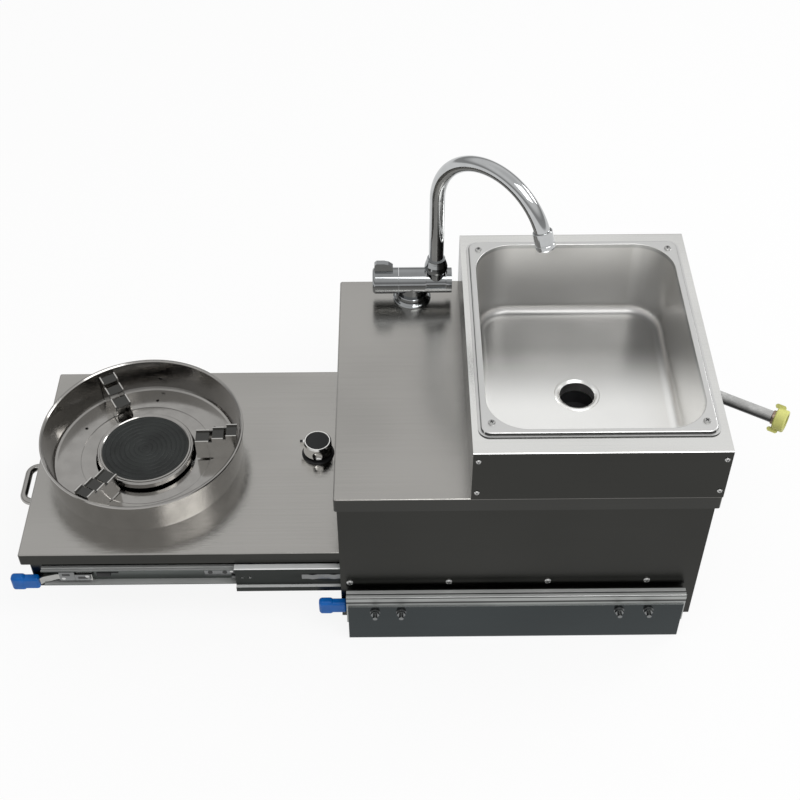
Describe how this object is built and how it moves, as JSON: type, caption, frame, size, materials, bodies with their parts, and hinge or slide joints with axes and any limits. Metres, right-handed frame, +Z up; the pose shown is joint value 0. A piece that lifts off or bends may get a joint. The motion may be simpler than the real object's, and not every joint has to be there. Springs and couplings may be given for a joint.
{
  "type": "camper sink",
  "caption": "Pull-out stainless camper kitchen: raised sink box with drawn bowl and folding tap, stove drawer and cabinet on locking slides.",
  "frame": {"origin": "centre of the base pan's underside", "axes": "+Z up, +X along the slides toward the sink end, -Y toward the user"},
  "size_m": [1.0276, 0.445, 0.5377],
  "materials": {
    "brushed_sheet": "brushed stainless sheet",
    "satin_bowl": "satin drawn stainless",
    "polished_steel": "polished stainless",
    "steel_fixings": "plain stainless",
    "zinc_rail": "zinc plated steel",
    "grip_blue": "moulded blue plastic",
    "tap_chrome": "mirror chrome",
    "brass": "plain brass",
    "black_rubber": "black rubber",
    "black_plastic": "black moulded plastic",
    "burner_iron": "charcoal burner metal",
    "aluminium_tube": "cast aluminium",
    "knob_metal": "chromed knob with a dark top",
    "hose_grey": "grey hose",
    "nut_yellow": "yellow moulded plastic"
  },
  "bodies": {
    "base": {"base_pan": "brushed_sheet", "base_bolts": "steel_fixings", "cab_outer_front": "zinc_rail", "cab_outer_rear": "zinc_rail"},
    "cab_mid": {"cab_mid_front": "zinc_rail", "cab_mid_rear": "zinc_rail"},
    "cabinet": {"front_panel": "brushed_sheet", "rear_panel": "brushed_sheet", "end_panel": "brushed_sheet", "cabinet_floor": "brushed_sheet", "rear_spacer": "brushed_sheet", "slide_screws": "steel_fixings", "counter_top": "brushed_sheet", "sink_hood": "brushed_sheet", "sink_box_ends": "brushed_sheet", "sink_box_screws": "steel_fixings", "sink_bowl": "satin_bowl", "sink_rim_screws": "steel_fixings", "drain_flange": "polished_steel", "drain_gasket": "black_rubber", "drain_cup": "black_plastic", "tap_body": "tap_chrome", "tap_lock_nut": "brass", "supply_hose": "hose_grey", "hose_grommet": "black_rubber", "hose_ferrule": "brass", "cab_inner_front": "zinc_rail", "cab_inner_rear": "zinc_rail", "stove_outer_front": "zinc_rail", "stove_outer_rear": "zinc_rail"},
    "tap_handle": {"tap_handle": "tap_chrome"},
    "spout_knuckle": {"spout_knuckle": "tap_chrome"},
    "spout": {"spout_tube": "tap_chrome", "aerator": "tap_chrome"},
    "stove_mid": {"stove_mid_front": "zinc_rail", "stove_mid_rear": "zinc_rail"},
    "stove_drawer": {"stove_plate": "brushed_sheet", "stove_tray": "brushed_sheet", "stove_handle": "steel_fixings", "wind_bowl": "polished_steel", "pot_supports": "polished_steel", "burner_cup": "burner_iron", "burner_ring": "polished_steel", "burner_disc": "burner_iron", "mixing_tube": "aluminium_tube", "gas_valve": "brass", "knob_bezel": "black_plastic", "stove_inner_front": "zinc_rail", "stove_inner_rear": "zinc_rail"},
    "valve_stem": {"valve_stem": "brass"},
    "control_knob": {"control_knob": "knob_metal"},
    "wing_nut": {"hose_wing_nut": "nut_yellow"},
    "cab_lever_front": {"cab_lever_front": "zinc_rail", "cab_grip_front": "grip_blue"},
    "cab_lever_rear": {"cab_lever_rear": "zinc_rail", "cab_grip_rear": "grip_blue"},
    "stove_lever_front": {"stove_lever_front": "zinc_rail", "stove_grip_front": "grip_blue"},
    "stove_lever_rear": {"stove_lever_rear": "zinc_rail", "stove_grip_rear": "grip_blue"}
  },
  "joints": [
    {"name": "cabinet_slide", "type": "slide", "parent": "base", "child": "cabinet", "axis": [-1, 0, 0], "range_m": [0, 0.4]},
    {"name": "cab_mid_slide", "type": "slide", "parent": "base", "child": "cab_mid", "axis": [-1, 0, 0], "range_m": [0, 0.2]},
    {"name": "stove_slide", "type": "slide", "parent": "cabinet", "child": "stove_drawer", "axis": [1, 0, 0], "range_m": [0, 0.4]},
    {"name": "stove_mid_slide", "type": "slide", "parent": "cabinet", "child": "stove_mid", "axis": [1, 0, 0], "range_m": [0, 0.152]},
    {"name": "tap_turn", "type": "hinge", "parent": "cabinet", "child": "tap_handle", "pos_m": [-0.16, 0.166, 0.302], "axis": [1, 0, 0], "range_deg": [0, 90]},
    {"name": "spout_fold", "type": "hinge", "parent": "cabinet", "child": "spout_knuckle", "pos_m": [-0.0975, 0.166, 0.302], "axis": [-1, 0, 0], "range_deg": [0, 90]},
    {"name": "spout_swivel", "type": "hinge", "parent": "spout_knuckle", "child": "spout", "pos_m": [-0.0975, 0.166, 0.335], "axis": [0, 0, 1], "continuous": true},
    {"name": "knob_turn", "type": "hinge", "parent": "stove_drawer", "child": "valve_stem", "pos_m": [-0.26, -0.007, 0.13], "axis": [0, 0, 1], "range_deg": [0, 180]},
    {"name": "knob_press", "type": "slide", "parent": "valve_stem", "child": "control_knob", "axis": [0, 0, -1], "range_m": [0, 0.003], "stiffness_N_per_m": 1500},
    {"name": "wing_nut_spin", "type": "hinge", "parent": "cabinet", "child": "wing_nut", "pos_m": [0.34685, -0.03161, 0.228], "axis": [0.8554, -0.518, 0], "continuous": true},
    {"name": "cab_release_front", "type": "hinge", "parent": "cabinet", "child": "cab_lever_front", "pos_m": [-0.178, -0.197, 0.0595], "axis": [0, 1, 0], "range_deg": [0, 8], "stiffness_Nm_per_rad": 0.8},
    {"name": "cab_release_rear", "type": "hinge", "parent": "cabinet", "child": "cab_lever_rear", "pos_m": [-0.178, 0.197, 0.0595], "axis": [0, 1, 0], "range_deg": [0, 8], "stiffness_Nm_per_rad": 0.8},
    {"name": "stove_release_front", "type": "hinge", "parent": "stove_drawer", "child": "stove_lever_front", "pos_m": [-0.574, -0.1765, 0.0965], "axis": [0, 1, 0], "range_deg": [0, 8], "stiffness_Nm_per_rad": 0.8},
    {"name": "stove_release_rear", "type": "hinge", "parent": "stove_drawer", "child": "stove_lever_rear", "pos_m": [-0.548, 0.1485, 0.0965], "axis": [0, 1, 0], "range_deg": [0, 8], "stiffness_Nm_per_rad": 0.8}
  ],
  "couplings": [
    {"joint": "cab_mid_slide", "follows": "cabinet_slide", "ratio": 0.5},
    {"joint": "stove_mid_slide", "follows": "stove_slide", "ratio": 0.38}
  ]
}
